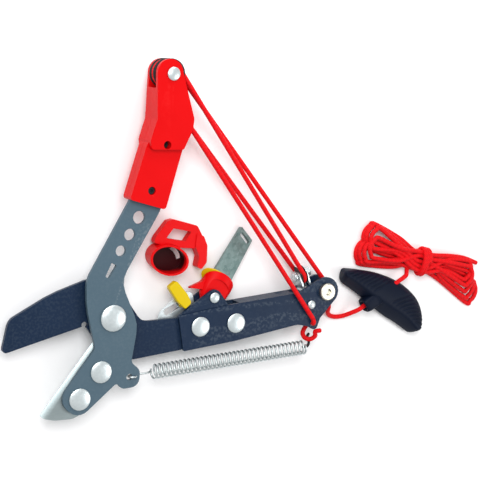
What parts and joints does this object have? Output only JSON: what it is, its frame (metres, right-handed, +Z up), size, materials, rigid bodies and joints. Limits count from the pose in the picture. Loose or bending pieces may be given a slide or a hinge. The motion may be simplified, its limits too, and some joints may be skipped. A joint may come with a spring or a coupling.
{
  "type": "pole lopper head",
  "caption": "Rope-operated pruning head for a pole: hook blade and jaw, pulley tackle, return spring, tilting pole adapter, pull handle and a tied hank of rope.",
  "frame": {"origin": "middle of the footprint of the tool without its free rope, on the surface that it lies on", "axes": "+Z up from that surface, +X from the blade towards the lever's end and the pull handle, +Y towards the pulley head"},
  "size_m": [0.5266, 0.3226, 0.044],
  "materials": {
    "grey_paint": "slate grey powder coat",
    "navy_paint": "dark blue-grey semi-gloss coat",
    "blade_steel": "ground steel with a bright cutting bevel",
    "zinc": "bright zinc plate",
    "red_plastic": "moulded bright red",
    "black_plastic": "moulded black",
    "rope": "braided red cord",
    "spring_steel": "drawn spring wire",
    "galvanised": "galvanised steel, grey green",
    "yellow_plastic": "moulded yellow",
    "brassy_steel": "passivated steel",
    "grip_plastic": "dark navy soft-touch moulding"
  },
  "bodies": {
    "lever": {"adapter_pin": "zinc", "bracket_rivet_left": "zinc", "bracket_rivet_right": "zinc", "bracket_spacer_left": "zinc", "bracket_spacer_right": "zinc", "cheek_rivet": "zinc", "end_bolt": "brassy_steel", "end_nut": "zinc", "end_wrap": "rope", "free_rope": "rope", "hank_tie": "rope", "lever_bracket": "navy_paint", "lever_plate": "navy_paint", "lock_plate": "zinc", "pivot_bolt": "zinc", "pivot_bush": "zinc", "pivot_locknut": "zinc", "pivot_nut": "zinc", "pivot_washer": "zinc", "pull_handle": "grip_plastic", "rope_anchor": "rope", "rope_guide_clip": "red_plastic", "rope_hank_left": "rope", "rope_hank_right": "rope", "spring_hook": "black_plastic"},
    "frame": {"frame_plate": "grey_paint", "cutting_blade": "blade_steel", "blade_rivet_upper": "zinc", "blade_rivet_lower": "zinc", "head_screw_upper": "black_plastic", "head_screw_lower": "black_plastic", "head_shell_front": "red_plastic", "head_shell_back": "red_plastic", "head_axle": "zinc", "head_wrap_front": "rope", "head_wrap_back": "rope"},
    "head_front_sheave": {"head_pulley_front": "black_plastic"},
    "head_back_sheave": {"head_pulley_back": "black_plastic"},
    "end_sheave": {"end_pulley": "black_plastic"},
    "line_a_low": {"rope_line_a_lower": "rope"},
    "line_a_high": {"rope_line_a_upper": "rope"},
    "block": {"block_strap": "zinc", "block_bolt": "zinc", "block_nut": "zinc", "block_wrap": "rope", "rope_line_b_lower": "rope", "rope_line_d_lower": "rope"},
    "block_sheave": {"block_pulley": "black_plastic"},
    "line_b_high": {"rope_line_b_upper": "rope", "rope_line_d_upper": "rope"},
    "line_c_low": {"rope_line_c_lower": "rope"},
    "line_c_high": {"rope_line_c_upper": "rope"},
    "spring_low": {"return_spring_lower": "spring_steel"},
    "spring_high": {"return_spring_upper": "spring_steel", "spring_tail_wire": "spring_steel"},
    "adapter": {"adapter_tongue": "galvanised", "adapter_ferrule": "red_plastic", "adapter_collar": "yellow_plastic"},
    "lock": {"lock_knob": "yellow_plastic", "lock_pin": "zinc"}
  },
  "joints": [
    {"name": "jaw_pivot", "type": "hinge", "parent": "lever", "child": "frame", "pos_m": [-0.06902, -0.07126, 0.023], "axis": [0, 0, -1], "range_deg": [0, 38], "stiffness_Nm_per_rad": 1.5},
    {"name": "head_front_spin", "type": "hinge", "parent": "frame", "child": "head_front_sheave", "pos_m": [-0.01262, 0.14784, 0.0322], "axis": [0, 0, -1], "continuous": true},
    {"name": "head_back_spin", "type": "hinge", "parent": "frame", "child": "head_back_sheave", "pos_m": [-0.01262, 0.14784, 0.0224], "axis": [0, 0, -1], "continuous": true},
    {"name": "end_spin", "type": "hinge", "parent": "lever", "child": "end_sheave", "pos_m": [0.15698, -0.06696, 0.015], "axis": [0, 0, -1], "continuous": true},
    {"name": "line_a_swing", "type": "hinge", "parent": "lever", "child": "line_a_low", "pos_m": [0.15698, -0.06696, 0.015], "axis": [0, 0, -1], "range_deg": [0, 19.34], "deforming": ["rope_line_a_lower"]},
    {"name": "line_a_shorten", "type": "slide", "parent": "line_a_low", "child": "line_a_high", "axis": [0.6197, -0.7848, 0], "range_m": [0, 0.1326], "deforming": ["rope_line_a_upper"]},
    {"name": "block_swing", "type": "hinge", "parent": "lever", "child": "block", "pos_m": [0.14028, -0.07866, 0.015], "axis": [0, 0, -1], "range_deg": [0, 22.67], "deforming": ["rope_line_b_lower", "rope_line_d_lower"]},
    {"name": "line_b_shorten", "type": "slide", "parent": "block", "child": "line_b_high", "axis": [0.5595, -0.8288, 0], "range_m": [0, 0.1254], "deforming": ["rope_line_b_upper", "rope_line_d_upper"]},
    {"name": "line_c_swing", "type": "hinge", "parent": "lever", "child": "line_c_low", "pos_m": [0.14238, -0.09746, 0.028], "axis": [0, 0, -1], "range_deg": [0, 21.53], "deforming": ["rope_line_c_lower"]},
    {"name": "line_c_shorten", "type": "slide", "parent": "line_c_low", "child": "line_c_high", "axis": [0.5342, -0.8454, 0], "range_m": [0, 0.1234], "deforming": ["rope_line_c_upper"]},
    {"name": "block_spin", "type": "hinge", "parent": "block", "child": "block_sheave", "pos_m": [0.13398, -0.04976, 0.015], "axis": [0.9397, 0.342, 0], "continuous": true},
    {"name": "spring_swing", "type": "hinge", "parent": "lever", "child": "spring_low", "pos_m": [0.13398, -0.12026, 0.0245], "axis": [0, 0, -1], "range_deg": [0, 1.23], "deforming": ["return_spring_lower"]},
    {"name": "spring_stretch", "type": "slide", "parent": "spring_low", "child": "spring_high", "axis": [-0.9992, -0.0399, 0], "range_m": [0, 0.0384], "deforming": ["return_spring_upper", "spring_tail_wire"]},
    {"name": "adapter_tilt", "type": "hinge", "parent": "lever", "child": "adapter", "pos_m": [0.03588, -0.06266, 0.015], "axis": [0, 0, 1], "range_deg": [-20, 0]},
    {"name": "lock_slide", "type": "slide", "parent": "lever", "child": "lock", "axis": [-0.9133, -0.4072, 0], "range_m": [0, 0.008]}
  ],
  "couplings": [
    {"joint": "line_a_swing", "follows": "jaw_pivot", "ratio": 0.50116},
    {"joint": "line_a_shorten", "follows": "jaw_pivot", "m_per_rad": 0.19924},
    {"joint": "block_swing", "follows": "jaw_pivot", "ratio": 0.58872},
    {"joint": "line_b_shorten", "follows": "jaw_pivot", "m_per_rad": 0.18831},
    {"joint": "line_c_swing", "follows": "jaw_pivot", "ratio": 0.55878},
    {"joint": "line_c_shorten", "follows": "jaw_pivot", "m_per_rad": 0.18536},
    {"joint": "spring_swing", "follows": "jaw_pivot", "ratio": 0.02721},
    {"joint": "spring_stretch", "follows": "jaw_pivot", "m_per_rad": 0.057194}
  ]
}
